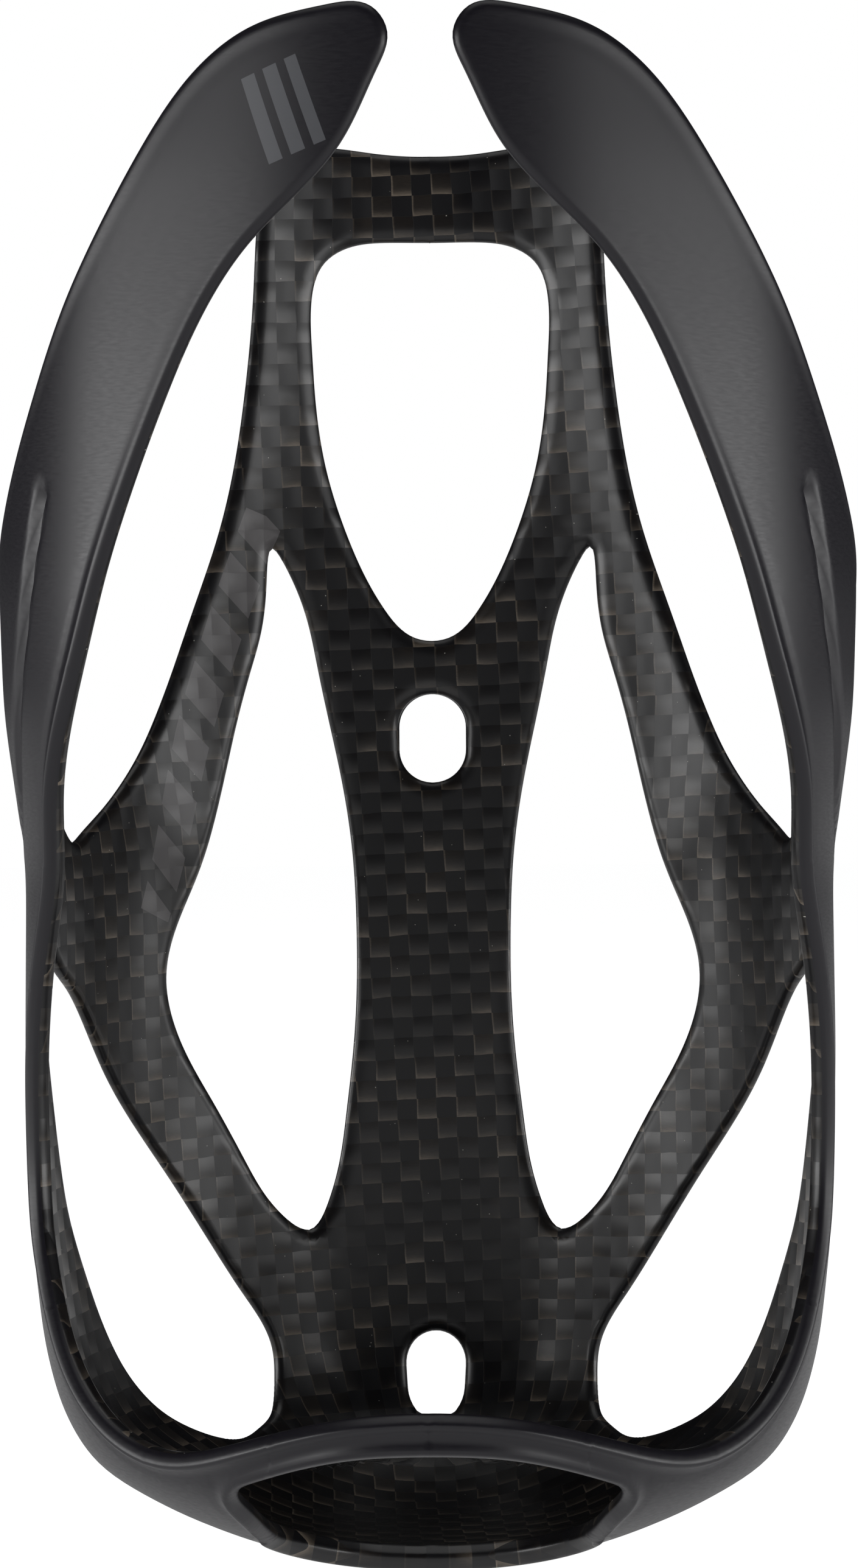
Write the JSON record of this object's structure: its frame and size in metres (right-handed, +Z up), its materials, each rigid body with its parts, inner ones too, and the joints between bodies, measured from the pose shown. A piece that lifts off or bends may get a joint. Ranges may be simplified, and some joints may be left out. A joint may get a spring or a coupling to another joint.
{
  "type": "water bottle cage",
  "caption": "Side-sprung carbon bicycle bottle cage with two wings, open windows, a dished toe and a slotted back plate.",
  "frame": {"origin": "midway between the two bolt slots, on the mounting face", "axes": "+Z up along the bottle, +X to the right of someone facing the open front, which looks along -Y"},
  "size_m": [0.0798, 0.0767, 0.1395],
  "materials": {
    "woven_carbon": "satin clear coat over woven carbon",
    "plain_carbon": "matte unidirectional carbon"
  },
  "bodies": {
    "cage": {"left_leg": "woven_carbon", "right_leg": "woven_carbon", "left_upper_strut": "woven_carbon", "right_upper_strut": "woven_carbon", "left_lower_strut": "woven_carbon", "right_lower_strut": "woven_carbon", "left_shoulder": "plain_carbon", "right_shoulder": "plain_carbon", "left_rail": "plain_carbon", "right_rail": "plain_carbon", "left_cup_wall": "plain_carbon", "right_cup_wall": "plain_carbon", "top_bridge": "woven_carbon", "spine": "woven_carbon", "spine_foot": "woven_carbon", "toe_floor": "woven_carbon", "front_band": "plain_carbon", "upper_mount_pad": "woven_carbon", "lower_mount_pad": "woven_carbon"},
    "left_wing_arm": {"left_wing": "plain_carbon"},
    "right_wing_arm": {"right_wing": "plain_carbon"}
  },
  "joints": [
    {"name": "left_wing_spring", "type": "hinge", "parent": "cage", "child": "left_wing_arm", "pos_m": [-0.0389, -0.045, 0.02], "axis": [0, -1, 0], "range_deg": [0, 4], "stiffness_Nm_per_rad": 12},
    {"name": "right_wing_spring", "type": "hinge", "parent": "cage", "child": "right_wing_arm", "pos_m": [0.0389, -0.045, 0.02], "axis": [0, 1, 0], "range_deg": [0, 4], "stiffness_Nm_per_rad": 12}
  ]
}
